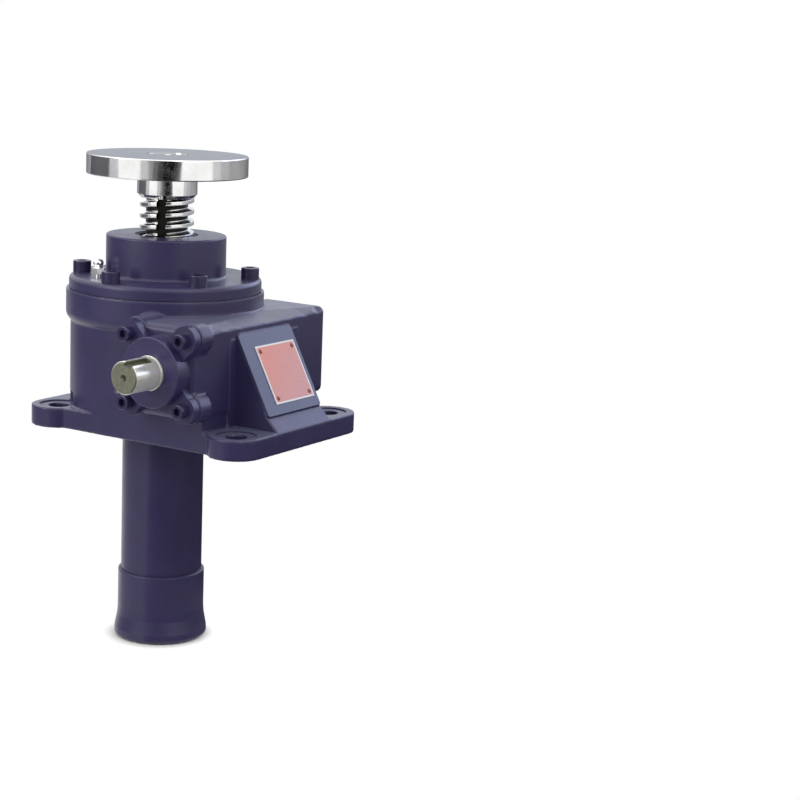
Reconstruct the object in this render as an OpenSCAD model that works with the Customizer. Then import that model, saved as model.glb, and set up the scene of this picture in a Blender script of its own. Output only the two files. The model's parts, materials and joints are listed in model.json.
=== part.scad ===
// Worm screw jack, translating screw with a round top plate.
// The origin is on the screw's axis, at the underside of the protective tube's cap.
// The worm turns about an axis parallel to X; the nameplate faces -Y.

/* [Heights above the foot] */
// Underside of the mounting base
base_z = 198; // [198:1:230]
// Worm axis above the underside of the base
worm_rise = 69.5; // [68:0.5:72]
// Height of the tube cap at the foot
cap_h = 62; // [40:1:80]

/* [Lifting screw] */
// Thread diameter
screw_d = 48; // [46:1:50]
// Thread lead
screw_lead = 10; // [8:1:10]
// Travel left below the shown position
stroke_down = 30; // [20:1:32]
// Travel left above the shown position
stroke_up = 150; // [60:1:150]

/* [Top plate] */
// Diameter of the plate
plate_d = 142; // [120:1:180]
// Thickness of the plate
plate_t = 18; // [12:0.5:24]
// Diameter of the hub under the plate
hub_d = 53; // [50:1:60]
// Length of the hub
hub_h = 20; // [16:0.5:30]

/* [Gearing] */
// Axial module of the worm
gear_module = 4.5; // [4.25:0.25:4.5]
// Teeth on the worm wheel
wheel_teeth = 24; // [22:1:24]
// Pitch diameter of the worm
worm_pitch_d = 43; // [41:1:43]
// Face width of the worm wheel
wheel_face = 36; // [30:1:38]

/* [Gear case] */
// Outer radius of the round body under the top ring
body_r = 83.5; // [83:0.5:86]
// Outer radius of the top ring
ring_r = 87.5; // [87:0.5:90]
// Reach of the worm box to the closed end
box_x = 93.5; // [91:0.5:98]
// Front face of the worm box
box_front = 110; // [109:0.5:112]
// Thickness of the base at the ears
ear_t = 18; // [14:1:22]
// Corner radius of the ears
ear_r = 24; // [22:1:26]
// Hole spacing across the base
ear_dx = 136; // [132:1:140]
// Hole spacing from front to back
ear_dy = 196; // [190:1:200]
// Diameter of the mounting holes
ear_hole_d = 18; // [14:1:22]

/* [Protective tube] */
// Outer diameter of the tube
tube_d = 73; // [70:1:76]
// Wall of the tube
tube_wall = 4.5; // [3:0.5:5]

/* [Input shaft] */
// Diameter of the shaft end
shaft_d = 28; // [24:1:29]
// End of the shaft, measured from the screw's axis
shaft_reach = 147; // [140:0.5:150]
// Direction that the shaft's keyway faces at rest, tipped from up towards the front
keyway_tip = 22; // [0:1:360]

/* [Hidden] */
$fn = 72;

paint = [0.23, 0.21, 0.35];
steel = [0.80, 0.80, 0.80];
bearing_steel = [0.62, 0.63, 0.66];
bronze = [0.72, 0.53, 0.28];

// Heights of the shells above the foot
worm_z = base_z + worm_rise;
ring_z0 = base_z + 92;
ring_z1 = base_z + 122;
flange_z1 = ring_z1 + 11;
collar_z1 = flange_z1 + 36.5;
// Gap left between hub and collar at the bottom of the stroke
hub_gap = 2.5;
hub_z0 = collar_z1 + stroke_down + hub_gap;
plate_z0 = hub_z0 + hub_h;
plate_z1 = plate_z0 + plate_t;

// Top cover
flange_r = 85;
collar_r = 53;
// The ring's underside is rounded, and the body's top edge stands up in front of it as a ledge
ring_round = 9;
ledge_rise = 0.6;
cover_pcd = 150;
cover_screw_step = 60;
wiper_r = 28;
nipple_shank_r = 2.95;

// Gear geometry
wheel_r = gear_module * wheel_teeth / 2;
worm_r = worm_pitch_d / 2;
axis_gap = wheel_r + worm_r;
worm_pitch = PI * gear_module;
worm_tip_r = worm_r + gear_module;
worm_root_r = worm_r - 1.2 * gear_module;
worm_half = 36;
lead_angle = atan(worm_pitch / (2 * PI * worm_r));
pressure = 20;
gear_play = 0.3;

// Trapezoidal screw thread
screw_r = screw_d / 2;
screw_root_r = screw_r - 0.55 * screw_lead;
nut_r = screw_r + 0.6;
nut_root_r = screw_r - 0.5 * screw_lead;
thread_flank = 15;
thread_play = 0.16;
key_w = 8;
key_angle = -154;
key_floor_r = screw_root_r - 0.5;

// Chambers of the gear case
chamber_r = 66;
chamber_z0 = base_z + 38;
pocket_r = 42.6;
passage_r = 31;
seat_z0 = base_z + 24;
socket_z1 = base_z + 18;
seat_z1 = ring_z1 - 7;
thread_z0 = seat_z0 - stroke_up - 12;
screw_end_z = thread_z0 - 18;
tunnel_r = 28.5;
bore_r = 27.5;
bore_start = 66;

// Wheel thrust bearings, 60 x 85 x 17
washer_r = 42.5;
washer_bore_r = 30;
washer_t = 5.2;
thrust_t = 17;
ball_r = 4.75;
ball_ring_r = 36.25;
ball_count = 18;
cage_half_w = 6.1;
hub_r = 42;
spigot_r = 29.9;

// Worm bearings, taper roller 30 x 55 x 17
bearing_u0 = 71;
bearing_t = 17;
bearing_r = 27.5;
journal_r = 15;
shoulder_r = 19;
core_r = worm_root_r - 1.5;
cone_bore_r = 15.01;
roller_tilt = 13;
roller_len = 10.4;
roller_big_r = 3.25;
roller_small_r = 2.7;
roller_count = 16;
roller_mid = [8.2, 21.4];
race_play = 0.04;

// Bearing cover on the shaft side
shaft_end_x = box_x + 4.5;
cover_x0 = shaft_end_x + 0.5;
cover_flange_t = 7.5;
cover_boss_x = cover_x0 + 15.5;
cover_boss_r = 30;
cover_lobe_r = 12;
case_lobe_r = 13;
front_lobe_len = 16;
back_lobe_len = 34;
cover_bolt = 29.2;
seal_r = 20;
seal_t = 7;
seal_x0 = cover_boss_x - 2 - seal_t;
seal_land_r = 14.8;
seal_land_x = cover_boss_x + 1.5;
shaft_relief = 1;
keyway_len = 27;

// Base
base_centre_y = -34;
ear_y = [base_centre_y - ear_dy / 2, base_centre_y + ear_dy / 2];
waist = body_r - 0.5;

// Nameplate boss on the front; its slope leans back from upright
slope = 28;
slope_len = 75;
wedge_top = [-box_front + 1.4, base_z + 95.6];
wedge_mid = [wedge_top[1] - slope_len * cos(slope), wedge_top[0] - slope_len * sin(slope)];
wedge_foot = [base_z + 18, base_centre_y - ear_dy / 2 - ear_r + 0.5];
wedge_half = 41;
wedge_root_half = 49;
pad_size = [76, 75, 2.5];
pad_x = -1.5;
pad_corner_r = 2.5;
label_size = [56, 53, 0.8];
label_x = 3.2;
label_y = 39.5;

// Worm box
box_edge_r = 6;
box_back = 42.5;
box_z0 = base_z + 29;
box_lip = base_z + 102.5;
box_z1 = base_z + 108;
// Where the bevel meets the box's top, as [x, y]
bevel_line = [[-box_x, -104.5], [28, -85], [box_x, -107.5]];
bevel_steps = 10;

tube_r = tube_d / 2;
stop_r = tube_r - tube_wall - 1.5;
stop_h = 14;
pin_r = 3.97;
lock_r = 3.95;
spigot_top_r = 18;
screw_tail_r = screw_root_r - 0.5;
waist_fillet_r = 6;
spot_r = 17;
spot_depth = 1.5;

// ---------------------------------------------------------------- shared shapes

// Points of an arc about c, from angle a0 to a1 in n steps
function arc(c, r, a0, a1, n = 6) =
    [for (i = [0 : n]) c + r * [cos(a0 + (a1 - a0) * i / n), sin(a0 + (a1 - a0) * i / n)]];

// Solid of revolution about Z with a rounded bottom edge and a rounded top edge
module rounded_disc(r, z0, z1, bottom = 0.5, top = 0.5) {
    rotate_extrude()
        polygon(concat([[0, z0]],
            arc([r - bottom, z0 + bottom], bottom, -90, 0),
            arc([r - top, z1 - top], top, 0, 90),
            [[0, z1]]));
}

// Ring about Z
module ring(r_out, r_in, z0, z1) {
    difference() {
        translate([0, 0, z0]) cylinder(r = r_out, h = z1 - z0);
        translate([0, 0, z0 - 1]) cylinder(r = r_in, h = z1 - z0 + 2);
    }
}

// Children drawn about Z are laid along the worm's axis, with +Z pointing to +X
module on_worm_axis() {
    translate([0, -axis_gap, worm_z]) rotate([0, 90, 0]) children();
}

// Places children at the four bolts of the bearing cover, drawn along the worm's axis
module at_cover_bolts() {
    for (a = [-1, 1], b = [-1, 1]) translate([a * cover_bolt, b * cover_bolt, 0]) children();
}

// Places children at the four ear holes, at the underside of the base
module at_ears() {
    for (x = [-ear_dx / 2, ear_dx / 2], y = ear_y) translate([x, y, base_z]) children();
}

// Places children on the bolt circle of the top cover
module at_cover_screws() {
    for (a = [0 : cover_screw_step : 359]) rotate(a) translate([cover_pcd / 2, 0, 0]) children();
}

// Socket head cap screw with its seat at z = 0, head up and shank down
module cap_screw(d, shank) {
    head_r = 0.8 * d;
    difference() {
        union() {
            rotate_extrude()
                polygon(concat([[0, 0], [head_r, 0]],
                    arc([head_r - 0.8, d - 0.8], 0.8, 0, 90, 3), [[0, d]]));
            translate([0, 0, -shank]) cylinder(r = d / 2 - 0.05, h = shank + 1);
        }
        translate([0, 0, 0.45 * d]) cylinder(r = 0.46 * d, h = d, $fn = 6);
    }
}

// Threaded rod about Z: one trapezoid ridge wound on a core, closed by a cone at each end.
// half_at_root and half_at_crest are half the ridge's width; a crest passes z = 0 at angle 0.
module threaded_rod(root, crest, lead, half_at_root, half_at_crest, z0, z1, segments) {
    profile = [[-half_at_root, root], [-half_at_crest, crest],
               [half_at_crest, crest], [half_at_root, root]];
    first = floor(z0 / lead) - 1;
    turns = ceil((z1 - z0) / lead) + 2;
    steps = turns * segments;
    ridge = [for (i = [0 : steps], p = profile)
        [p[1] * cos(360 * i / segments), p[1] * sin(360 * i / segments),
         (first + i / segments) * lead + p[0]]];
    low = len(ridge);
    high = low + 1;
    ends = [[0, 0, (first - 1) * lead], [0, 0, (first + turns + 1) * lead]];
    function at(i, j) = 4 * i + j;
    faces = concat(
        [for (i = [0 : steps - 1], j = [0 : 2]) each
            [[at(i, j), at(i, j + 1), at(i + 1, j)], [at(i + 1, j), at(i, j + 1), at(i + 1, j + 1)]]],
        [for (i = [0 : steps - segments - 1]) each
            [[at(i, 3), at(i + segments, 0), at(i + 1, 3)],
             [at(i + 1, 3), at(i + segments, 0), at(i + segments + 1, 0)]]],
        [for (i = [0 : segments - 1]) [low, at(i, 0), at(i + 1, 0)]],
        [[low, at(segments, 0), at(0, 3)], [low, at(0, 3), at(0, 2)],
         [low, at(0, 2), at(0, 1)], [low, at(0, 1), at(0, 0)]],
        [for (i = [steps - segments : steps - 1]) [high, at(i + 1, 3), at(i, 3)]],
        [[high, at(steps - segments, 3), at(steps, 0)], [high, at(steps, 0), at(steps, 1)],
         [high, at(steps, 1), at(steps, 2)], [high, at(steps, 2), at(steps, 3)]]);
    polyhedron(concat(ridge, ends), faces, convexity = 10);
}

// Half the width of a ridge at radius r, grown by play on each flank
function half_width(lead, r, mid_r, flank, play) = lead / 4 - (r - mid_r) * tan(flank) + play;

// The lifting screw's thread, or with play above zero the matching cut in the nut
module screw_thread(root, crest, play, z0, z1) {
    mid_r = screw_r - screw_lead / 4;
    threaded_rod(root, crest, screw_lead,
        half_width(screw_lead, root, mid_r, thread_flank, play),
        half_width(screw_lead, crest, mid_r, thread_flank, play), z0, z1, 18);
}

// ---------------------------------------------------------------- gear case

// The base: four round ears, with the sides between them set back
module base_plate() {
    at_ears() cylinder(r = ear_r, h = ear_t);
    translate([-ear_dx / 2, ear_y[0] - ear_r, base_z]) cube([ear_dx, ear_dy + 2 * ear_r, ear_t]);
    translate([-waist, ear_y[0], base_z]) cube([2 * waist, ear_dy, ear_t]);
    for (side = [0, 1], end = [0, 1])
        translate([0, base_centre_y, base_z])
            mirror([side, 0, 0]) mirror([0, end, 0]) waist_fillet();
}

// Concave corner between an ear and the side that is set back from it
module waist_fillet() {
    ear = [ear_dx / 2, ear_dy / 2];
    hollow_x = waist + waist_fillet_r;
    reach = ear_r + waist_fillet_r - 0.1;
    hollow = [hollow_x, ear[1] - sqrt(pow(reach, 2) - pow(hollow_x - ear[0], 2))];
    linear_extrude(ear_t) difference() {
        polygon([ear, hollow, [waist, hollow[1]], [waist - 1, hollow[1]]]);
        translate(hollow) circle(r = waist_fillet_r + 0.05);
    }
}

// The worm box: a rounded block with a bevel along its front top edge, on a narrower pedestal
module worm_box() {
    difference() {
        hull() for (x = [-shaft_end_x + box_edge_r, box_x - box_edge_r],
                    y = [-box_front + box_edge_r, -box_back - box_edge_r],
                    z = [box_z0 + box_edge_r, box_z1 - box_edge_r])
            translate([x, y, z]) sphere(box_edge_r, $fn = 16);
        bevel_cut();
    }
    translate([-waist, -box_front + 2, base_z]) cube([2 * waist, box_front - 2, 40]);
}

// Ruled cut for that bevel: it starts level along the front and ends on the bent bevel_line
module bevel_cut() {
    over = 8;
    sections = [for (i = [0 : bevel_steps])
        let (x = -box_x - over + 2 * (box_x + over) * i / bevel_steps,
             y = lookup(x, bevel_line),
             rise = (box_z1 - box_lip) / (y + box_front))
        each [[x, -box_front - over, box_lip - rise * over], [x, y + 1, box_z1 + rise],
              [x, y + 1, box_z1 + 2 * over], [x, -box_front - over, box_z1 + 2 * over]]];
    function at(i, j) = 4 * i + j % 4;
    polyhedron(sections, concat([[0, 1, 2], [0, 2, 3]],
        [for (i = [0 : bevel_steps - 1], j = [0 : 3]) each
            [[at(i, j), at(i + 1, j), at(i + 1, j + 1)], [at(i, j), at(i + 1, j + 1), at(i, j + 1)]]],
        [[at(bevel_steps, 2), at(bevel_steps, 1), at(bevel_steps, 0)],
         [at(bevel_steps, 3), at(bevel_steps, 2), at(bevel_steps, 0)]]), convexity = 4);
}

// The drafted boss that carries the nameplate: a slope, then a flatter foot down to the base's edge
module nameplate_wedge() {
    wedge_part([[wedge_top[1], wedge_top[0]], wedge_mid], base_z + 5);
    wedge_part([wedge_mid, wedge_foot], base_z + 3);
    on_slope() translate([pad_x - pad_size[0] / 2, -pad_size[1], -2])
        linear_extrude(pad_size[2] + 2) rounded_rect(pad_size[0], pad_size[1], pad_corner_r);
}

// One stretch of the wedge, from height low up to the line through two points given as [z, y]
module wedge_part(line, low) {
    top = line[0][0];
    hull() {
        translate([-wedge_root_half, -box_front + 1, low])
            cube([2 * wedge_root_half, 9, top - low]);
        translate([wedge_half, 0, 0]) rotate([0, -90, 0]) linear_extrude(2 * wedge_half)
            polygon([line[0], line[1], [low, line[1][1]], [low, -box_front + 1]]);
    }
}

// Rectangle with its lower left corner at the origin and rounded corners
module rounded_rect(w, h, r) {
    polygon(concat(arc([w - r, r], r, -90, 0), arc([w - r, h - r], r, 0, 90),
        arc([r, h - r], r, 90, 180), arc([r, r], r, 180, 270)));
}

// Children drawn flat, with +Y up the slope from the wedge's top edge and +Z out of it
module on_slope() {
    translate([0, wedge_top[0], wedge_top[1]]) rotate([90 - slope, 0, 0]) children();
}

module case_outside() {
    base_plate();
    translate([0, 0, base_z]) cylinder(r = body_r, h = ring_z0 + ledge_rise - base_z);
    rounded_disc(ring_r, ring_z0, ring_z1, ring_round, 1);
    worm_box();
    nameplate_wedge();
    on_worm_axis() for (a = [-1, 1], b = [-1, 1])
        translate([a * cover_bolt, b * cover_bolt, -shaft_end_x])
            cylinder(r = case_lobe_r, h = b < 0 ? front_lobe_len : back_lobe_len);
}

module gear_case() {
    color(paint) difference() {
        case_outside();
        // Wheel chamber, thrust bearing pocket, screw passage and tube socket
        translate([0, 0, chamber_z0]) cylinder(r = chamber_r, h = 200);
        translate([0, 0, seat_z0]) cylinder(r = pocket_r, h = 50);
        translate([0, 0, base_z]) cylinder(r = passage_r, h = 50);
        translate([0, 0, base_z - 1]) cylinder(r = tube_r, h = socket_z1 - base_z + 1);
        // Worm tunnel and the two bearing bores
        on_worm_axis() {
            translate([0, 0, -bore_start]) cylinder(r = tunnel_r, h = 2 * bore_start);
            translate([0, 0, -shaft_end_x - 5]) cylinder(r = bore_r, h = shaft_end_x + box_x + 10);
            at_cover_bolts() translate([0, 0, -shaft_end_x - 1]) cylinder(r = 4, h = 17);
        }
        // Cover screw holes, mounting holes with their spot faces
        at_cover_screws() translate([0, 0, ring_z1 - 24]) cylinder(r = 5, h = 30);
        at_ears() {
            translate([0, 0, -1]) cylinder(d = ear_hole_d, h = ear_t + 5);
            translate([0, 0, ear_t - spot_depth]) cylinder(r = spot_r, h = 9);
        }
        // Holes for the nameplate's rivets
        on_slope() at_rivets() translate([0, 0, pad_size[2] - 5]) cylinder(r = 1.2, h = 10);
    }
}

// ---------------------------------------------------------------- top cover

module thrust_cover() {
    color(paint) difference() {
        union() {
            rotate_extrude()
                polygon(concat([[0, ring_z1], [flange_r, ring_z1]],
                    arc([flange_r - 4, flange_z1 - 4], 4, 0, 90),
                    arc([collar_r + 3, flange_z1 + 3], 3, 270, 180, 4),
                    arc([collar_r - 1.5, collar_z1 - 1.5], 1.5, 0, 90, 4),
                    [[0, collar_z1]]));
            translate([0, 0, seat_z1 - 7]) cylinder(r = chamber_r - 0.2, h = 20);
        }
        translate([0, 0, seat_z1 - 8]) cylinder(r = pocket_r, h = 8);
        cylinder(r = screw_r + 1, h = 500);
        translate([0, 0, collar_z1 - 6]) cylinder(r = wiper_r, h = 10);
        // Slot that holds the guide key
        rotate(key_angle) translate([0, -key_w / 2, seat_z1 - 1]) cube([31, key_w, 39]);
        at_cover_screws() translate([0, 0, ring_z1 - 1]) cylinder(r = 5.5, h = 30);
        at_nipple() translate([0, 0, -31]) cylinder(r = nipple_shank_r + 0.05, h = 40);
    }
}

module thrust_cover_screws() {
    color(paint) at_cover_screws() translate([0, 0, flange_z1]) cap_screw(10, 32);
}

// Places children where the grease nipple stands on the flange
module at_nipple() {
    rotate(150) translate([63, 0, flange_z1]) children();
}

module grease_nipple() {
    color(steel) at_nipple() {
        translate([0, 0, -9]) cylinder(r = nipple_shank_r, h = 13);
        translate([0, 0, 3]) cylinder(r = 6.3, h = 5, $fn = 6);
        rotate_extrude()
            polygon(concat([[0, 7.5], [4.6, 7.5], [3, 10]], arc([1, 12.4], 3.6, -40, 60, 6), [[0, 15.5]]));
    }
}

module screw_wiper() {
    color([0.12, 0.12, 0.13]) ring(wiper_r - 0.05, screw_r + 0.4, collar_z1 - 6, collar_z1 - 0.6);
}

module guide_key() {
    color(bearing_steel) rotate(key_angle)
        translate([key_floor_r + 0.5, -key_w / 2, seat_z1 + 0.5])
            cube([30.9 - key_floor_r - 0.5, key_w, 37]);
}

// ---------------------------------------------------------------- tube and foot

module protective_tube() {
    color(paint) ring(tube_r, tube_r - tube_wall, 8, socket_z1);
}

module tube_cap() {
    r = tube_r + 2.5;
    color(paint) difference() {
        rotate_extrude()
            polygon(concat([[0, 0]], arc([r - 1, 4], 4, -90, -10, 5), [[r + 2.8, 8], [r + 1.6, 14],
                [r + 0.5, 20], [r, 27]], arc([r - 1.2, cap_h - 1.2], 1.2, 0, 90, 3), [[0, cap_h]]));
        translate([0, 0, 8]) cylinder(r = tube_r, h = cap_h);
    }
}

// ---------------------------------------------------------------- nameplate

// The four rivets, in the nameplate's own frame on the slope
module at_rivets() {
    for (x = [-1, 1], y = [-1, 1])
        translate([label_x + x * (label_size[0] / 2 - 5), -label_y + y * (label_size[1] / 2 - 5), 0])
            children();
}

module nameplate() {
    color([0.78, 0.25, 0.25]) on_slope() difference() {
        translate([label_x - label_size[0] / 2, -label_y - label_size[1] / 2, pad_size[2]])
            cube(label_size);
        at_rivets() cylinder(r = 1.3, h = 20);
    }
}

module nameplate_rivets() {
    color([0.6, 0.2, 0.2]) on_slope() at_rivets() {
        translate([0, 0, pad_size[2] - 4]) cylinder(r = 1.15, h = 5.5);
        translate([0, 0, pad_size[2] + label_size[2]])
            rotate_extrude() polygon(concat([[0, 0]], arc([0, -1.2], 2.4, 30, 90, 4)));
    }
}

// ---------------------------------------------------------------- bearing cover and worm bearings

// Outline of the cover's flange: a disc and four lobes on arms
module cover_outline(r) {
    circle(r = cover_boss_r);
    for (a = [45, 135]) rotate(a)
        square([2 * cover_bolt * sqrt(2), 2 * r - 1.2], center = true);
    at_cover_bolts() circle(r = r);
}

module bearing_cover() {
    color(paint) on_worm_axis() mirror([0, 0, 1]) difference() {
        union() {
            translate([0, 0, cover_x0]) linear_extrude(cover_flange_t) cover_outline(cover_lobe_r);
            rounded_disc(cover_boss_r, cover_x0, cover_boss_x, 0.2, 1);
            translate([0, 0, bearing_u0 + bearing_t])
                cylinder(r = bore_r - 0.1, h = cover_x0 - bearing_u0 - bearing_t + 1);
        }
        cylinder(r = seal_land_r + 0.4, h = 200);
        translate([0, 0, seal_x0 - 1]) cylinder(r = seal_r, h = seal_t + 1);
        translate([0, 0, bearing_u0]) cylinder(r = 20, h = bearing_t + 4);
        at_cover_bolts() cylinder(r = 4.5, h = 200);
    }
}

module bearing_cover_shim() {
    color(steel) on_worm_axis() mirror([0, 0, 1]) difference() {
        translate([0, 0, shaft_end_x])
            linear_extrude(cover_x0 - shaft_end_x) cover_outline(cover_lobe_r - 0.5);
        cylinder(r = bore_r + 0.2, h = 200);
        at_cover_bolts() cylinder(r = 4.5, h = 200);
    }
}

module bearing_cover_screws() {
    color(paint) on_worm_axis() mirror([0, 0, 1]) at_cover_bolts()
        translate([0, 0, cover_x0 + cover_flange_t]) cap_screw(8, 20);
}

module shaft_seal() {
    color([0.12, 0.12, 0.13]) on_worm_axis() mirror([0, 0, 1])
        ring(seal_r - 0.02, seal_land_r + 0.05, seal_x0, seal_x0 + seal_t);
}

module bearing_end_cap() {
    color(paint) on_worm_axis() difference() {
        translate([0, 0, bearing_u0 + bearing_t])
            cylinder(r = bore_r - 0.05, h = box_x - bearing_u0 - bearing_t);
        for (y = [-17, 17]) translate([0, y, box_x - 4]) cylinder(r = 3, h = 10);
        translate([0, 0, bearing_u0]) cylinder(r = 20, h = bearing_t + 1);
    }
}

// Corner of the roller's section: s along the roller, side +1 towards the cup
function roller_corner(s, r, side) =
    roller_mid + s * [cos(roller_tilt), -sin(roller_tilt)]
        + side * r * [sin(roller_tilt), cos(roller_tilt)];
half_len = roller_len / 2;
big_out = roller_corner(-half_len, roller_big_r + race_play, 1);
small_out = roller_corner(half_len, roller_small_r + race_play, 1);
big_in = roller_corner(-half_len - race_play, roller_big_r + race_play, -1);
small_in = roller_corner(half_len, roller_small_r + race_play, -1);
cup_slope = (small_out[1] - big_out[1]) / (small_out[0] - big_out[0]);
cone_slope = (small_in[1] - big_in[1]) / (small_in[0] - big_in[0]);
rib = 1.3;

// Bearing parts are drawn with u = 0 at the face that meets the worm's shoulder
module at_bearing(side) {
    on_worm_axis() mirror([0, 0, side < 0 ? 1 : 0]) translate([0, 0, bearing_u0]) children();
}

module bearing_cup() {
    color(bearing_steel) rotate_extrude()
        polygon([[bearing_r, 4], [bearing_r, bearing_t],
            [small_out[1] + cup_slope * (bearing_t - small_out[0]), bearing_t],
            [big_out[1] + cup_slope * (4 - big_out[0]), 4]]);
}

module bearing_cone() {
    rib_top = big_in + rib * [sin(roller_tilt), cos(roller_tilt)];
    end_r = small_in[1] + cone_slope * (13.6 - small_in[0]);
    color(bearing_steel) rotate_extrude()
        polygon([[cone_bore_r, 0], [rib_top[1], 0], [rib_top[1], rib_top[0]], [big_in[1], big_in[0]],
            [end_r, 13.6], [end_r, bearing_t], [cone_bore_r, bearing_t]]);
}

module bearing_rollers() {
    color(steel) for (k = [0 : roller_count - 1]) rotate(360 * k / roller_count)
        translate([roller_mid[1], 0, roller_mid[0]]) rotate([0, -roller_tilt, 0])
            translate([0, 0, -half_len]) cylinder(r1 = roller_big_r, r2 = roller_small_r, h = roller_len);
}

module worm_bearing_cup_left() { at_bearing(-1) bearing_cup(); }
module worm_bearing_cup_right() { at_bearing(1) bearing_cup(); }
module worm_bearing_cone_left() { at_bearing(-1) bearing_cone(); }
module worm_bearing_cone_right() { at_bearing(1) bearing_cone(); }
module worm_rollers_left() { at_bearing(-1) bearing_rollers(); }
module worm_rollers_right() { at_bearing(1) bearing_rollers(); }

// ---------------------------------------------------------------- worm shaft

module worm_shaft() {
    play = -gear_play / 2;
    root_half = half_width(worm_pitch, worm_root_r, worm_r, pressure, play);
    tip_half = half_width(worm_pitch, worm_tip_r, worm_r, pressure, play);
    right_end = bearing_u0 + bearing_t;
    color(steel) on_worm_axis() difference() {
        union() {
            // Worm thread, trimmed to its length with tapered ends
            intersection() {
                translate([0, 0, -worm_pitch / 4])
                    threaded_rod(worm_root_r, worm_tip_r, worm_pitch, root_half, tip_half,
                        -worm_half, worm_half, 24);
                rotate_extrude() polygon([[0, -worm_half], [worm_root_r - 1, -worm_half],
                    [worm_tip_r + 1, -worm_half + 8], [worm_tip_r + 1, worm_half - 8],
                    [worm_root_r - 1, worm_half], [0, worm_half]]);
            }
            // Core, shoulders, bearing journals and the shaft end with its chamfer
            rotate_extrude() polygon([[0, -shaft_reach], [shaft_d / 2 - 1.5, -shaft_reach],
                [shaft_d / 2, -shaft_reach + 1.5], [shaft_d / 2, -seal_land_x - shaft_relief],
                [shaft_d / 2 - 0.4, -seal_land_x - shaft_relief], [shaft_d / 2 - 0.4, -seal_land_x],
                [seal_land_r - 0.4, -seal_land_x], [seal_land_r, -seal_land_x + 0.4],
                [seal_land_r, -right_end - 1], [journal_r, -right_end - 1],
                [journal_r, -bearing_u0], [shoulder_r, -bearing_u0],
                [shoulder_r, -bore_start], [core_r, -worm_half - 4], [core_r, worm_half + 4],
                [shoulder_r, bore_start], [shoulder_r, bearing_u0], [journal_r, bearing_u0],
                [journal_r, right_end - 1], [journal_r - 1, right_end], [0, right_end]]);
        }
        // Keyway and centre hole of the shaft end; -X local is up
        rotate(180 + keyway_tip) translate([shaft_d / 2 - 4, -4, -shaft_reach - 1])
            cube([10, 8, keyway_len + 1]);
        translate([0, 0, -shaft_reach - 0.01]) cylinder(r1 = 3, r2 = 0, h = 5);
    }
}

// ---------------------------------------------------------------- worm wheel with the lifting nut

base_r = wheel_r * cos(pressure);
tip_r = wheel_r + gear_module;
root_r = wheel_r - 1.2 * gear_module;
function inv(a) = tan(a) * 180 / PI - a;
function half_tooth(r) = (worm_pitch - 2 * gear_play) / 4 / wheel_r * 180 / PI
    + inv(pressure) - inv(acos(min(1, base_r / r)));
tooth_radii = [root_r, base_r + 0.2, wheel_r, tip_r];

// One twist of the teeth follows the worm's lead angle across the face
module wheel_teeth() {
    twist_over_face = wheel_face * tan(lead_angle) / wheel_r * 180 / PI;
    flank = [for (r = tooth_radii) [r, half_tooth(r)]];
    outline = [for (k = [0 : wheel_teeth - 1], side = [-1, 1], j = [0 : 3])
        let (p = flank[side < 0 ? j : 3 - j], a = 360 * (k + 0.5) / wheel_teeth - 90 + side * p[1])
        p[0] * [cos(a), sin(a)]];
    translate([0, 0, worm_z - wheel_face / 2]) rotate(-twist_over_face / 2)
        linear_extrude(wheel_face, twist = -twist_over_face, slices = 4) polygon(outline);
}

module worm_wheel() {
    color(bronze) difference() {
        union() {
            intersection() {
                wheel_teeth();
                rotate_extrude() polygon([[0, worm_z - 20], [root_r, worm_z - 20],
                    [tip_r + 1, worm_z - 10], [tip_r + 1, worm_z + 10],
                    [root_r, worm_z + 20], [0, worm_z + 20]]);
            }
            translate([0, 0, seat_z0 + thrust_t])
                cylinder(r = hub_r, h = seat_z1 - seat_z0 - 2 * thrust_t);
            translate([0, 0, seat_z0 + 2]) cylinder(r = spigot_r, h = seat_z1 - seat_z0 - 4);
        }
        screw_thread(nut_root_r, nut_r, thread_play, seat_z0, seat_z1);
    }
}

// ---------------------------------------------------------------- wheel thrust bearings

// Washer of a thrust bearing between z0 and z0 + washer_t, grooved at the balls' centre height
module thrust_washer(z0, ball_z, bore) {
    color(bearing_steel) difference() {
        ring(washer_r, bore, z0, z0 + washer_t);
        rotate_extrude() translate([ball_ring_r, ball_z]) circle(r = ball_r + 0.05, $fn = 40);
    }
}

module thrust_balls(z) {
    color(steel) for (k = [0 : ball_count - 1]) rotate(360 * k / ball_count)
        translate([ball_ring_r, 0, z]) sphere(ball_r, $fn = 24);
}

module ball_cage(z) {
    color(bronze) difference() {
        ring(ball_ring_r + cage_half_w, ball_ring_r - cage_half_w, z - 1.5, z + 1.5);
        for (k = [0 : ball_count - 1]) rotate(360 * k / ball_count)
            translate([ball_ring_r, 0, z - 5]) cylinder(r = ball_r + 0.1, h = 10);
    }
}

low_ball_z = seat_z0 + thrust_t / 2;
high_ball_z = seat_z1 - thrust_t / 2;
module lower_housing_washer() { thrust_washer(seat_z0, low_ball_z, washer_bore_r + 1); }
module lower_shaft_washer() { thrust_washer(seat_z0 + thrust_t - washer_t, low_ball_z, washer_bore_r); }
module upper_shaft_washer() { thrust_washer(seat_z1 - thrust_t, high_ball_z, washer_bore_r); }
module upper_housing_washer() { thrust_washer(seat_z1 - washer_t, high_ball_z, washer_bore_r + 1); }
module lower_thrust_balls() { thrust_balls(low_ball_z); }
module upper_thrust_balls() { thrust_balls(high_ball_z); }
module lower_ball_cage() { ball_cage(low_ball_z); }
module upper_ball_cage() { ball_cage(high_ball_z); }

// ---------------------------------------------------------------- lifting screw and what rides on it

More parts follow.
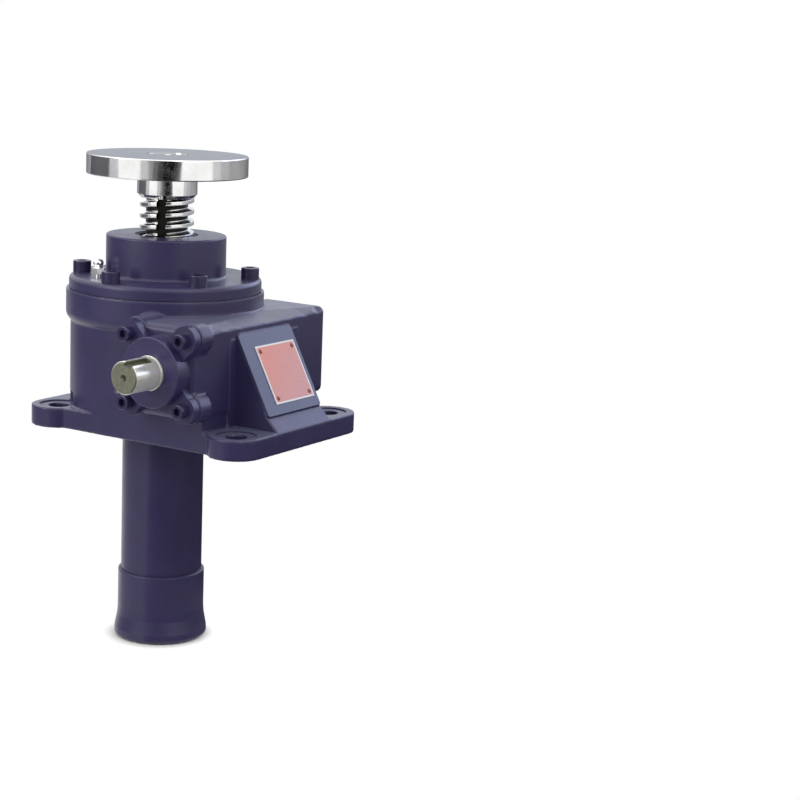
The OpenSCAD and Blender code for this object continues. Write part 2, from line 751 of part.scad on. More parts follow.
module lifting_screw() {
    color(steel) difference() {
        union() {
            intersection() {
                screw_thread(screw_root_r, screw_r, -thread_play, thread_z0, hub_z0);
                rotate_extrude() polygon([[0, thread_z0], [screw_root_r, thread_z0],
                    [screw_r + 1, thread_z0 + 6], [screw_r + 1, hub_z0], [0, hub_z0]]);
            }
            translate([0, 0, screw_end_z]) cylinder(r = screw_tail_r, h = thread_z0 - screw_end_z + 2);
            translate([0, 0, hub_z0 - 2]) cylinder(r = spigot_top_r, h = plate_z1 - hub_z0 + 1.4);
        }
        rotate(key_angle) translate([key_floor_r, -key_w / 2 - 0.15, thread_z0 - 30])
            cube([20, key_w + 0.3, hub_z0 - thread_z0 + 30]);
        along_stop_pin() cylinder(r = pin_r + 0.03, h = 100, center = true);
    }
}

module top_plate() {
    color(steel) difference() {
        union() {
            rounded_disc(plate_d / 2, plate_z0, plate_z1, 1, 1);
            rotate_extrude() polygon([[0, hub_z0], [hub_d / 2 - 3.5, hub_z0],
                [hub_d / 2, hub_z0 + 3.5], [hub_d / 2, plate_z0 + 1], [0, plate_z0 + 1]]);
        }
        cylinder(r = spigot_top_r, h = 600);
        along_lock_screw() cylinder(r = lock_r + 0.05, h = 60);
    }
}

// Children drawn about Z are laid along the hub's lock screw, outwards from the axis
module along_lock_screw() {
    rotate(60) translate([0, 0, hub_z0 + 11]) rotate([0, 90, 0]) children();
}

module plate_lock_screw() {
    color(bearing_steel) along_lock_screw() difference() {
        translate([0, 0, spigot_top_r + 0.1]) cylinder(r = lock_r, h = hub_d / 2 - spigot_top_r - 0.6);
        translate([0, 0, spigot_top_r + 4]) cylinder(r = 2.3, h = 10, $fn = 6);
    }
}

// Children drawn about Z are laid along the pin through the stop ring
module along_stop_pin() {
    translate([0, 0, screw_end_z + stop_h / 2]) rotate([90, 0, 0]) children();
}

module stop_ring() {
    color(bearing_steel) difference() {
        ring(stop_r, screw_tail_r + 0.02, screw_end_z, screw_end_z + stop_h);
        along_stop_pin() cylinder(r = pin_r + 0.03, h = 100, center = true);
    }
}

module stop_ring_pin() {
    color(steel) along_stop_pin() cylinder(r = pin_r, h = 2 * stop_r - 2, center = true);
}

// ---------------------------------------------------------------- nodes

gear_case();
thrust_cover();
thrust_cover_screws();
grease_nipple();
screw_wiper();
guide_key();
protective_tube();
tube_cap();
nameplate();
nameplate_rivets();
bearing_cover();
bearing_cover_shim();
bearing_cover_screws();
shaft_seal();
bearing_end_cap();
worm_bearing_cup_left();
worm_bearing_cup_right();
lower_housing_washer();
upper_housing_washer();
worm_shaft();
worm_bearing_cone_left();
worm_bearing_cone_right();
worm_rollers_left();
worm_rollers_right();
worm_wheel();
lower_shaft_washer();
upper_shaft_washer();
lower_thrust_balls();
upper_thrust_balls();
lower_ball_cage();
upper_ball_cage();
lifting_screw();
top_plate();
plate_lock_screw();
stop_ring();
stop_ring_pin();
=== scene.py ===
import json
import math

import bmesh
import bpy
from mathutils import Euler, Matrix, Vector


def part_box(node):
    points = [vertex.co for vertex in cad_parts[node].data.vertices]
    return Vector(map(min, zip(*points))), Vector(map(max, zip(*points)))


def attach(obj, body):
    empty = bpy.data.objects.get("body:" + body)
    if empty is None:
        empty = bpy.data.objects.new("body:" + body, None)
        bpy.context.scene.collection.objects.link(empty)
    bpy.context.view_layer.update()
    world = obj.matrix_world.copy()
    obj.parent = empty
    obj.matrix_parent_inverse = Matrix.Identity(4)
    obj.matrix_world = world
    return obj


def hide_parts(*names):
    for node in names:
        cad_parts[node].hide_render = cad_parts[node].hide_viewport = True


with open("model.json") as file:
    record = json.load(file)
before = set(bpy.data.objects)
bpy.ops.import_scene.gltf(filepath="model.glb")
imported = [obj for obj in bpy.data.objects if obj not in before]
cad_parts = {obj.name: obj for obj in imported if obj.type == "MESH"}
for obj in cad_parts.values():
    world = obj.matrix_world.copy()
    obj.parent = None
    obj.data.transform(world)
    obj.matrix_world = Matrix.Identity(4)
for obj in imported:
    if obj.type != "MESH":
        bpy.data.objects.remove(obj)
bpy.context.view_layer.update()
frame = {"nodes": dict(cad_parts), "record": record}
mounts = {m["name"]: m for m in frame["record"]["mounts"]}

MM = 0.001


# ---------------------------------------------------------------- material helpers

def empty_material(name):
    """A material with nothing in its tree but the output, whose surface socket comes third."""
    mat = bpy.data.materials.new(name)
    mat.use_nodes = True
    tree = mat.node_tree
    tree.nodes.clear()
    return mat, tree, tree.nodes.new("ShaderNodeOutputMaterial").inputs[0]


def new_material(name):
    mat, tree, surface = empty_material(name)
    shader = tree.nodes.new("ShaderNodeBsdfPrincipled")
    tree.links.new(shader.outputs[0], surface)
    return mat, tree, shader


def shader_of(mat):
    return next(n for n in mat.node_tree.nodes if n.type == "BSDF_PRINCIPLED")


def place(tree):
    """Object coordinates in metres."""
    return tree.nodes.new("ShaderNodeTexCoord").outputs["Object"]


def parts_of(tree, vector):
    """X, Y and Z of a vector."""
    n = tree.nodes.new("ShaderNodeSeparateXYZ")
    tree.links.new(vector, n.inputs[0])
    return n.outputs


def up_facing(tree):
    """How far the surface faces up, from -1 to 1."""
    return parts_of(tree, tree.nodes.new("ShaderNodeNewGeometry").outputs["Normal"])[2]


def noise(tree, scale, detail=2.0, vector=None):
    n = tree.nodes.new("ShaderNodeTexNoise")
    n.inputs["Scale"].default_value = scale
    n.inputs["Detail"].default_value = detail
    tree.links.new(vector or place(tree), n.inputs["Vector"])
    return n.outputs["Fac"]


def spread(tree, value, low, high, to_low=0.0, to_high=1.0):
    """Maps value from low..high to to_low..to_high, clamped."""
    n = tree.nodes.new("ShaderNodeMapRange")
    n.inputs["From Min"].default_value = low
    n.inputs["From Max"].default_value = high
    n.inputs["To Min"].default_value = to_low
    n.inputs["To Max"].default_value = to_high
    tree.links.new(value, n.inputs["Value"])
    return n.outputs["Result"]


def math_node(tree, op, a, b=None):
    n = tree.nodes.new("ShaderNodeMath")
    n.operation = op
    for i, v in enumerate((a, b)):
        if v is None:
            continue
        if isinstance(v, (int, float)):
            n.inputs[i].default_value = v
        else:
            tree.links.new(v, n.inputs[i])
    return n.outputs[0]


def mix_colour(tree, factor, a, b):
    n = tree.nodes.new("ShaderNodeMix")
    n.data_type = "RGBA"
    tree.links.new(factor, n.inputs["Factor"])
    for name, v in (("A", a), ("B", b)):
        socket = next(s for s in n.inputs if s.name == name and s.type == "RGBA")
        if isinstance(v, tuple):
            socket.default_value = (*v, 1)
        else:
            tree.links.new(v, socket)
    return next(s for s in n.outputs if s.type == "RGBA")


def colour_over(tree, shader, factor, colour):
    """Lays colour over what the base colour holds so far, as far as factor says."""
    base = shader.inputs["Base Color"]
    tree.links.new(mix_colour(tree, factor, base.links[0].from_socket, colour), base)


def bump(tree, shader, height, strength, distance):
    n = tree.nodes.new("ShaderNodeBump")
    n.inputs["Strength"].default_value = strength
    n.inputs["Distance"].default_value = distance
    tree.links.new(height, n.inputs["Height"])
    tree.links.new(n.outputs[0], shader.inputs["Normal"])


def paint_material(name, colour, worn, peel=0.12, roughness=(0.27, 0.35), casting=False):
    """Semi-gloss enamel with orange peel, uneven gloss and scuffs.

    On a casting the paint is also thin on worn edges, and faces looking up get dusty film and painted
    sheen.
    """
    mat, tree, s = new_material(name)
    broad = spread(tree, noise(tree, 14, 3), 0.3, 0.7)
    tone = mix_colour(tree, broad, tuple(c * 0.9 for c in colour), tuple(c * 1.1 for c in colour))
    mask = math_node(tree, "MULTIPLY", spread(tree, noise(tree, 260, 3), 0.70, 0.76), 0.5)
    if casting:
        pointed = tree.nodes.new("ShaderNodeNewGeometry").outputs["Pointiness"]
        chipped = math_node(tree, "MULTIPLY", spread(tree, pointed, 0.54, 0.62),
                            spread(tree, noise(tree, 900, 3), 0.45, 0.7))
        mask = math_node(tree, "MAXIMUM", mask, chipped)
        # Faces that look up get lighter: a dusty film, and a painted sheen for the light from above
        dust_and_sheen = math_node(tree, "MULTIPLY", spread(tree, up_facing(tree), 0.80, 0.97),
                         spread(tree, noise(tree, 30, 4), 0.3, 0.7, 0.75, 1.0))
        tone = mix_colour(tree, dust_and_sheen, tone, DUST_AND_SHEEN)
    tree.links.new(mix_colour(tree, mask, tone, worn), s.inputs["Base Color"])
    tree.links.new(spread(tree, noise(tree, 40, 4), 0.3, 0.7, *roughness), s.inputs["Roughness"])
    bump(tree, s, math_node(tree, "ADD", noise(tree, 520, 2), noise(tree, 150, 2)), peel, 0.4 * MM)
    return mat


def metal_material(name, colour, rough_low, rough_high, scratch=0.15):
    """Bare metal: fine turning or grinding marks and uneven roughness."""
    mat, tree, s = new_material(name)
    s.inputs["Metallic"].default_value = 1.0
    tone = spread(tree, noise(tree, 60, 4), 0.35, 0.7)
    tree.links.new(mix_colour(tree, tone, colour, tuple(c * 0.85 for c in colour)), s.inputs["Base Color"])
    tree.links.new(spread(tree, noise(tree, 130, 4), 0.3, 0.7, rough_low, rough_high),
                   s.inputs["Roughness"])
    bump(tree, s, noise(tree, 1600, 2), scratch, 0.1 * MM)
    return mat


# ---------------------------------------------------------------- materials

PAINT = (0.037, 0.030, 0.098)
WORN_PAINT = (0.10, 0.095, 0.16)
# Dusty film and painted sheen, laid over faces that look up
DUST_AND_SHEEN = (0.135, 0.142, 0.225)
paint = paint_material("indigo_enamel", PAINT, WORN_PAINT)
cast_paint = paint_material("indigo_enamel_cast", PAINT, WORN_PAINT, casting=True)
bolt_paint = paint_material("indigo_enamel_bolts", tuple(c * 0.75 for c in PAINT), (0.05, 0.05, 0.10),
                            0.08, (0.16, 0.26))
# A lighter, bluer copy of the enamel for the nameplate pad: painted light, as its slope catches the sky
lit_pad_paint = paint_material("indigo_enamel_pad_lit", (0.050, 0.056, 0.118), (0.12, 0.12, 0.18),
                           0.05, (0.24, 0.30))
polished = metal_material("polished_steel", (0.93, 0.93, 0.92), 0.05, 0.13)
ground = metal_material("ground_steel", (0.52, 0.53, 0.55), 0.22, 0.38)
bronze = metal_material("bronze", (0.60, 0.42, 0.20), 0.22, 0.36)
# Grease in the screw's slot; the same dark metal is painted shadow under each thread tooth
grease_and_shadow = metal_material("slot_grease_and_thread_shadow", (0.025, 0.024, 0.022), 0.25, 0.45, 0.3)

rubber, tree, s = new_material("rubber")
s.inputs["Roughness"].default_value = 0.6
tree.links.new(mix_colour(tree, noise(tree, 200, 3), (0.012, 0.012, 0.014), (0.03, 0.03, 0.032)),
               s.inputs["Base Color"])
bump(tree, s, noise(tree, 900, 2), 0.2, 0.2 * MM)

# The load plate: bright rim, and a top faced on the lathe, with streaks from the middle outwards
plate_steel = metal_material("faced_plate", (0.97, 0.97, 0.96), 0.05, 0.12)
tree, s = plate_steel.node_tree, shader_of(plate_steel)
s.inputs["Specular Tint"].default_value = (0.46, 0.455, 0.46, 1)
spot = parts_of(tree, place(tree))
around = tree.nodes.new("ShaderNodeCombineXYZ")
tree.links.new(math_node(tree, "ARCTAN2", spot[1], spot[0]), around.inputs[0])
streak = spread(tree, noise(tree, 5, 3, around.outputs[0]), 0.3, 0.7)
faced = mix_colour(tree, streak, (0.40, 0.41, 0.425), (0.52, 0.53, 0.545))
colour_over(tree, s, spread(tree, up_facing(tree), 0.9, 0.95), faced)

# The input shaft: turned, with a dull saw-cut end and a dull keyway, darkened in the keyway by painted
# shade
KEYWAY_FLOOR_R = (13.3 * MM, 13.5 * MM)
shaft_steel = metal_material("turned_shaft", (0.90, 0.89, 0.84), 0.16, 0.26, 0.2)
tree, s = shaft_steel.node_tree, shader_of(shaft_steel)
s.inputs["Metallic"].default_value = 0.50
spot = parts_of(tree, place(tree))
off_axis = [math_node(tree, "SUBTRACT", spot[k], mounts["input_shaft"]["pos_m"][k]) for k in (1, 2)]
radius = math_node(tree, "SQRT", math_node(tree, "ADD", *(math_node(tree, "POWER", v, 2.0)
                                                          for v in off_axis)))
shaft_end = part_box("worm_shaft")[0][0]
end_face = spread(tree, spot[0], shaft_end + 0.2 * MM, shaft_end + 0.3 * MM, 1.0, 0.0)
rough_cut_and_shade = math_node(tree, "MAXIMUM", end_face, spread(tree, radius, *KEYWAY_FLOOR_R, 1.0, 0.0))
# Dark dull colour on the end and the keyway floor: the cut finish, and painted shade in the keyway
sawn_and_shade = mix_colour(tree, noise(tree, 500, 4), (0.10, 0.10, 0.07), (0.30, 0.30, 0.22))
colour_over(tree, s, rough_cut_and_shade, sawn_and_shade)
tree.links.new(math_node(tree, "ADD", s.inputs["Roughness"].links[0].from_socket,
                         math_node(tree, "MULTIPLY", rough_cut_and_shade, 0.22)), s.inputs["Roughness"])

rivet_paint, tree, s = new_material("painted_rivet")
s.inputs["Roughness"].default_value = 0.3
tree.links.new(mix_colour(tree, noise(tree, 300, 2), (0.22, 0.03, 0.03), (0.36, 0.07, 0.06)),
               s.inputs["Base Color"])
bump(tree, s, noise(tree, 700, 2), 0.15, 0.1 * MM)

# The nameplate: red field, white border; the red turns orange to the top-left, a painted reflection
LEAN = math.radians(28)
up_slope = Vector((0, math.sin(LEAN), math.cos(LEAN)))
out_of_slope = Vector((0, -math.cos(LEAN), math.sin(LEAN)))
label_low, label_high = (Vector(v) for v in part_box("nameplate"))
label_centre = (label_low + label_high) / 2
LABEL_W, LABEL_H, BORDER = label_high.x - label_low.x, 53 * MM, 1.5 * MM

label_print, tree, s = new_material("nameplate_print")
offset = tree.nodes.new("ShaderNodeVectorMath")
offset.operation = "SUBTRACT"
tree.links.new(place(tree), offset.inputs[0])
offset.inputs[1].default_value = label_centre


def label_axis(direction):
    """Distance from the nameplate's centre along direction."""
    n = tree.nodes.new("ShaderNodeVectorMath")
    n.operation = "DOT_PRODUCT"
    tree.links.new(offset.outputs[0], n.inputs[0])
    n.inputs[1].default_value = direction
    return n.outputs["Value"]


def past(value, limit):
    """How far value lies outside -limit..limit."""
    return math_node(tree, "SUBTRACT", math_node(tree, "ABSOLUTE", value), limit)


across, along = label_axis((1, 0, 0)), label_axis(up_slope)
rim = math_node(tree, "MAXIMUM", past(across, LABEL_W / 2 - BORDER), past(along, LABEL_H / 2 - BORDER))
border = spread(tree, rim, -0.1 * MM, 0.1 * MM)
# Painted reflection: the red turns orange towards the top-left corner
painted_reflection = spread(tree, math_node(tree, "SUBTRACT", along, across), -30 * MM, 34 * MM)
mottle = spread(tree, noise(tree, 60, 3), 0.3, 0.7)
red = mix_colour(tree, painted_reflection, (0.62, 0.27, 0.235), (0.74, 0.22, 0.12))
red = mix_colour(tree, math_node(tree, "MULTIPLY", mottle, 0.25), red, (0.50, 0.26, 0.26))
tree.links.new(mix_colour(tree, border, red, (0.80, 0.78, 0.78)), s.inputs["Base Color"])
tree.links.new(spread(tree, noise(tree, 90, 3), 0.3, 0.7, 0.26, 0.36), s.inputs["Roughness"])
bump(tree, s, math_node(tree, "MULTIPLY", border, -1.0), 0.3, 0.08 * MM)

# What each node wears: its own material, or else its slot's
SLOT_MATERIAL = {"paint": paint, "bright_steel": polished, "bearing_steel": ground,
                 "bronze": bronze, "rubber": rubber}
NODE_MATERIAL = {"thrust_cover_screws": bolt_paint, "bearing_cover_screws": bolt_paint,
                 "top_plate": plate_steel, "worm_shaft": shaft_steel,
                 "nameplate": label_print, "nameplate_rivets": rivet_paint}
slot_of = {p["node"]: p["material_slot"] for p in frame["record"]["subparts"]}


def dress(mesh, *materials):
    mesh.materials.clear()
    for mat in materials:
        mesh.materials.append(mat)


for name, obj in frame["nodes"].items():
    dress(obj.data, NODE_MATERIAL[name] if name in NODE_MATERIAL else SLOT_MATERIAL[slot_of[name]])


# ---------------------------------------------------------------- mesh helpers

def mesh_of(name, bm):
    mesh = bpy.data.meshes.new(name)
    bm.to_mesh(mesh)
    bm.free()
    return mesh


def new_object(name, data):
    obj = bpy.data.objects.new(name, data)
    bpy.context.scene.collection.objects.link(obj)
    return obj


def add_piece(name, mesh, body):
    obj = new_object(name, mesh)
    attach(obj, body)
    return obj


def smooth_shade(obj, degrees=35):
    """Smooth shading, with edges sharper than degrees kept crisp."""
    for p in obj.data.polygons:
        p.use_smooth = True
    split = obj.modifiers.new("edges", "EDGE_SPLIT")
    split.split_angle = math.radians(degrees)
    weighted = obj.modifiers.new("weighted", "WEIGHTED_NORMAL")
    weighted.mode = "FACE_AREA"
    weighted.keep_sharp = True


def bevel(obj, width, degrees=35):
    m = obj.modifiers.new("soft_edges", "BEVEL")
    m.width = width
    m.segments = 3
    m.limit_method = "ANGLE"
    m.angle_limit = math.radians(degrees)


def box_solid(name, matrix):
    """Unit cube under matrix."""
    bm = bmesh.new()
    bmesh.ops.create_cube(bm, size=1, matrix=matrix)
    return new_object(name, mesh_of(name, bm))


def rod_solid(name, matrix, radius, length):
    """Rod along Z under matrix."""
    bm = bmesh.new()
    bmesh.ops.create_cone(bm, cap_ends=True, segments=96, radius1=radius, radius2=radius,
                          depth=length, matrix=matrix)
    return new_object(name, mesh_of(name, bm))


def turned_solid(name, outline, steps=96):
    """Solid of revolution about Z; outline, as (r, z), runs from axis to axis or back to its start."""
    bm = bmesh.new()
    rings = []
    for r, z in outline:
        angles = [2 * math.pi * k / steps for k in range(steps if r else 1)]
        rings.append([bm.verts.new((r * math.cos(a), r * math.sin(a), z)) for a in angles])
    for a, b in zip(rings, rings[1:]):
        for k in range(steps):
            corners = [a[k % len(a)], a[(k + 1) % len(a)], b[(k + 1) % len(b)], b[k % len(b)]]
            corners = [v for i, v in enumerate(corners) if v not in corners[:i]]
            if len(corners) > 2:
                bm.faces.new(corners)
    # An outline that comes back to its start closes on its first ring
    bmesh.ops.remove_doubles(bm, verts=bm.verts, dist=1e-7)
    bmesh.ops.recalc_face_normals(bm, faces=bm.faces)
    return new_object(name, mesh_of(name, bm))


def cut(obj, tool, how="DIFFERENCE"):
    m = obj.modifiers.new("cut", "BOOLEAN")
    m.operation = how
    m.solver = "MANIFOLD"
    m.object = tool


def bake_and_drop(obj, tools=()):
    """The mesh that obj's modifiers give; obj and its helper solids leave the scene."""
    deps = bpy.context.evaluated_depsgraph_get()
    deps.update()
    mesh = bpy.data.meshes.new_from_object(obj.evaluated_get(deps))
    for o in [obj, *tools]:
        bpy.data.objects.remove(o)
    return mesh


# ---------------------------------------------------------------- gear case

VOXEL = 0.9 * MM
SMOOTHING_ROUNDS = 10
FOOT_THICK = 18 * MM
RING_TOP = 122 * MM
holes = mounts["base_holes"]
foot_z = holes["pos_m"][2]

# Each ear has a machined spot face round its hole, dished by 0.3 mm
HOLE_R, SPOT_R, SPOT_Z, SPOT_RIM_Z, CLEAR_Z = 9 * MM, 17 * MM, 16.2 * MM, 16.5 * MM, 30 * MM
cuts = []
for sx in (-1, 1):
    for sy in (-1, 1):
        at = Vector(holes["pos_m"]) + MM / 2 * Vector((sx * holes["dims"]["spacing_x_mm"],
                                                      sy * holes["dims"]["spacing_y_mm"], 0))
        spot_face = turned_solid("spot_face", [(0, -MM), (HOLE_R, -MM), (HOLE_R, SPOT_Z),
                                               (SPOT_R, SPOT_RIM_Z), (SPOT_R, CLEAR_Z), (0, CLEAR_Z)])
        spot_face.data.transform(Matrix.Translation(at))
        cuts.append(spot_face)

# A narrow open seam runs round the case under the thrust cover's flange
SEAM_DEPTH, SEAM_GAP = 1.6 * MM, 1.1 * MM
flange_low, flange_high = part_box("thrust_cover")
flange_r = (flange_high[0] - flange_low[0]) / 2
in_r, out_r = flange_r - SEAM_DEPTH, flange_r + 5 * MM
seam_low, seam_high = foot_z + RING_TOP - SEAM_GAP, foot_z + RING_TOP + MM
cuts.append(turned_solid("seam", [(in_r, seam_low), (out_r, seam_low), (out_r, seam_high),
                                  (in_r, seam_high), (in_r, seam_low)], 192))

# The machined pad under the nameplate keeps crisp edges on the soft casting
PAD_W, PAD_H, PAD_R, PAD_SINK = 77.4 * MM, 75 * MM, 2.5 * MM, 4 * MM
CORNER_STEPS = 6
pad_centre = label_centre - 5.4 * MM * Vector((1, 0, 0)) + 2.0 * MM * up_slope - 0.3 * MM * out_of_slope
outline = []
for sx, sy, start in ((1, 1, 0), (-1, 1, 90), (-1, -1, 180), (1, -1, 270)):
    for k in range(CORNER_STEPS + 1):
        a = math.radians(start + 90 * k / CORNER_STEPS)
        outline.append((sx * (PAD_W / 2 - PAD_R) + PAD_R * math.cos(a),
                        sy * (PAD_H / 2 - PAD_R) + PAD_R * math.sin(a)))
bm = bmesh.new()
back, front = ([bm.verts.new(pad_centre + u * Vector((1, 0, 0)) + v * up_slope + lift * out_of_slope)
                for u, v in outline] for lift in (-PAD_SINK, 0))
for k in range(len(outline)):
    after = (k + 1) % len(outline)
    bm.faces.new((back[k], back[after], front[after], front[k]))
bm.faces.new(back)
bm.faces.new(front)
bmesh.ops.recalc_face_normals(bm, faces=bm.faces)
pad = new_object("pad", mesh_of("pad", bm))
bevel(pad, 0.5 * MM, 40)

# The wedge's flanks are dressed flush with the pad, from just above the foot to past the wedge's top
FLANK_HALF, FLANK_FRONT, FLANK_DEEP, FLANK_HEIGHT = 60 * MM, -200 * MM, -110.4 * MM, 78 * MM
flank_z = foot_z + FOOT_THICK + 0.6 * MM + FLANK_HEIGHT / 2
for low_x, high_x in ((-FLANK_HALF, pad_centre.x - PAD_W / 2 - 0.3 * MM),
                      (pad_centre.x + PAD_W / 2 + 0.6 * MM, FLANK_HALF)):
    middle = ((low_x + high_x) / 2, (FLANK_FRONT + FLANK_DEEP) / 2, flank_z)
    cuts.append(box_solid("flank", Matrix.Translation(middle)
                          @ Matrix.Diagonal((high_x - low_x, FLANK_DEEP - FLANK_FRONT, FLANK_HEIGHT, 1))))

# The CAD casting is copied, remeshed evenly and smoothed. It is turned askew meanwhile, so that no
# edge runs along the grid and comes out rippled
askew = Euler((0.35, 0.47, 0.61)).to_matrix().to_4x4()
case_mesh = frame["nodes"]["gear_case"].data.copy()
case_mesh.transform(askew)
rough = new_object("gear_case_rough", case_mesh)
remesh = rough.modifiers.new("remesh", "REMESH")
remesh.mode = "VOXEL"
remesh.voxel_size = VOXEL
rough.modifiers.new("smooth", "SMOOTH").iterations = SMOOTHING_ROUNDS
case_mesh = bake_and_drop(rough)
case_mesh.transform(askew.inverted())
soft = new_object("gear_case_soft", case_mesh)
cut(soft, pad, "UNION")
for tool in cuts:
    cut(soft, tool)
smooth_shade(soft, 60)
case_mesh = bake_and_drop(soft, [pad, *cuts])
# The pad's faces take the lighter enamel, painted light on the slope
dress(case_mesh, cast_paint, lit_pad_paint)
for p in case_mesh.polygons:
    offset = p.center - pad_centre
    on_pad = (abs(offset.x) < PAD_W / 2 + 0.05 * MM and abs(offset.dot(up_slope)) < PAD_H / 2 + 0.05 * MM
              and abs(offset.dot(out_of_slope)) < 2.3 * MM)
    p.material_index = 1 if on_pad else 0
case = add_piece("cast_gear_case", case_mesh, "case")
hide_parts("gear_case")

# Machined edges are broken by a fine chamfer, in millimetres, which is what catches the light
CHAMFER = {"thrust_cover": 0.9, "thrust_cover_screws": 0.5, "bearing_cover_screws": 0.45,
           "bearing_cover": 0.8, "top_plate": 0.5, "worm_shaft": 0.7, "tube_cap": 0.8,
           "protective_tube": 0.5, "grease_nipple": 0.3, "screw_wiper": 0.4, "nameplate": 0.15,
           "plate_lock_screw": 0.3, "bearing_end_cap": 0.5}
for name, obj in frame["nodes"].items():
    if name == "gear_case":
        continue
    if name in CHAMFER:
        bevel(obj, CHAMFER[name] * MM)
    smooth_shade(obj)


# ---------------------------------------------------------------- lifting screw

LEAD = 10 * MM
THREAD_DEPTH = 5.5 * MM
THREAD_FLANK = math.tan(math.radians(15))
THREAD_PLAY = 0.16 * MM
EASE = 0.35 * MM
THREAD_SHADE = 2.3 * MM
screw_low, screw_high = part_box("lifting_screw")
plate_low, plate_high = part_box("top_plate")
key_low, key_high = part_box("guide_key")
pin_low, pin_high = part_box("stop_ring_pin")
key_turn = math.atan2(key_low[1] + key_high[1], key_low[0] + key_high[0])
crest_r = (screw_high[0] - screw_low[0]) / 2
core_r = crest_r - THREAD_DEPTH
slot_floor, slot_half = core_r - 0.5 * MM, 4.15 * MM
thread_low, hub_z = screw_low[2] + 18 * MM, plate_low[2]


def thread_mesh(turn_steps):
    """A trapezoidal thread with slightly rounded crests on a plain core, closed at both ends.

    A strip of core, THREAD_SHADE wide, runs under each tooth, to take a painted shadow.
    """
    mean_r = crest_r - LEAD / 4
    half_core = LEAD / 4 - (core_r - mean_r) * THREAD_FLANK - THREAD_PLAY
    half_crest = LEAD / 4 - (crest_r - mean_r) * THREAD_FLANK - THREAD_PLAY
    tooth = [(half_crest - EASE, crest_r), (half_crest - 0.2 * EASE, crest_r - 0.25 * EASE),
             (half_crest + 0.25 * EASE, crest_r - EASE), (half_core - 0.1 * EASE, core_r + EASE),
             (half_core + EASE, core_r)]
    profile = [(-half_core - EASE - THREAD_SHADE, core_r), *((-dz, r) for dz, r in reversed(tooth)), *tooth]
    width = len(profile)
    first = math.floor(thread_low / LEAD) - 1
    steps = (math.ceil((hub_z - thread_low) / LEAD) + 2) * turn_steps
    verts = []
    for i in range(steps + 1):
        a = 2 * math.pi * i / turn_steps
        for dz, r in profile:
            verts.append((r * math.cos(a), r * math.sin(a), (first + i / turn_steps) * LEAD + dz))
    faces = []
    for i in range(steps):
        for j in range(width - 1):
            a, b = i * width + j, (i + 1) * width + j
            faces.append((a, b, b + 1, a + 1))
    for i in range(steps - turn_steps):
        a, b = i * width + width - 1, (i + turn_steps) * width
        faces.append((a, a + width, b + width, b))
    mesh = bpy.data.meshes.new("thread")
    mesh.from_pydata(verts, [], faces)
    bm = bmesh.new()
    bm.from_mesh(mesh)
    bmesh.ops.holes_fill(bm, edges=[e for e in bm.edges if e.is_boundary], sides=0)
    bmesh.ops.recalc_face_normals(bm, faces=bm.faces)
    bm.to_mesh(mesh)
    bm.free()
    return mesh


thread = new_object("thread", thread_mesh(96))
thread_end = hub_z + 0.02 * MM
limit = turned_solid("limit", [(0, thread_low), (core_r, thread_low), (crest_r + MM, thread_low + 6 * MM),
                               (crest_r + MM, thread_end), (0, thread_end)])
STUB_R, CENTRE_R, CENTRE_DEEP, CHAMFER_END = 17.9 * MM, 3 * MM, 3.5 * MM, 0.4 * MM
below_r, below_top = core_r - 0.52 * MM, thread_low + 2 * MM
spindle = turned_solid("spindle", [(0, screw_low[2]), (core_r - 1.5 * MM, screw_low[2]),
                                   (below_r, screw_low[2] + MM), (below_r, below_top),
                                   (STUB_R, below_top), (STUB_R, screw_high[2] - CHAMFER_END),
                                   (STUB_R - CHAMFER_END, screw_high[2]), (CENTRE_R, screw_high[2]),
                                   (0, screw_high[2] - CENTRE_DEEP)])
slot_length = hub_z - screw_low[2] + 12 * MM
slot = box_solid("slot", Matrix.Rotation(key_turn, 4, "Z")
                 @ Matrix.Translation((slot_floor + 15 * MM, 0, hub_z - slot_length / 2))
                 @ Matrix.Diagonal((30 * MM, 2 * slot_half, slot_length, 1)))
pin_hole = rod_solid("pin_hole", Matrix.Translation((0, 0, (pin_low[2] + pin_high[2]) / 2))
                     @ Matrix.Rotation(math.pi / 2, 4, "X"), 4 * MM, 100 * MM)
cut(thread, limit, "INTERSECT")
cut(thread, spindle, "UNION")
cut(thread, slot)
cut(thread, pin_hole)
screw_mesh = bake_and_drop(thread, [limit, spindle, slot, pin_hole])

# Grease in the slot and painted shadow under each tooth; the screw's end is faced off with the plate
dress(screw_mesh, polished, grease_and_shadow, plate_steel)
for p in screw_mesh.polygons:
    along = p.center.x * math.cos(key_turn) + p.center.y * math.sin(key_turn)
    across = abs(p.center.y * math.cos(key_turn) - p.center.x * math.sin(key_turn))
    in_slot = (along > 0 and across <= slot_half + 0.02 * MM and p.center.z < hub_z
               and abs(p.normal.z) < 0.5
               and (abs(across - slot_half) < 0.05 * MM or abs(along - slot_floor) < 0.05 * MM))
    turn = p.center.z / LEAD - math.atan2(p.center.y, p.center.x) / (2 * math.pi)
    from_tooth = ((turn + 0.5) % 1 - 0.5) * LEAD
    # Painted shadow: the strip of core just under each tooth
    under_tooth = (math.hypot(p.center.x, p.center.y) < crest_r - 0.4 * MM
                   and thread_low < p.center.z < hub_z and not -1.6 * MM <= from_tooth <= 4.6 * MM)
    if in_slot or under_tooth:
        p.material_index = 1
    elif p.center.z > plate_high[2] - 5 * MM:
        p.material_index = 2
screw = add_piece("keyed_screw", screw_mesh, "screw")
smooth_shade(screw, 32)
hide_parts("lifting_screw")


# ---------------------------------------------------------------- stage

def lamp(name, at, size, power):
    """Square lamp at a place, turned to the middle of the jack."""
    data = bpy.data.lights.new(name, "AREA")
    data.size = size
    data.energy = power
    obj = new_object(name, data)
    obj.location = at
    obj.rotation_euler = (centre - Vector(at)).to_track_quat("-Z", "Y").to_euler()


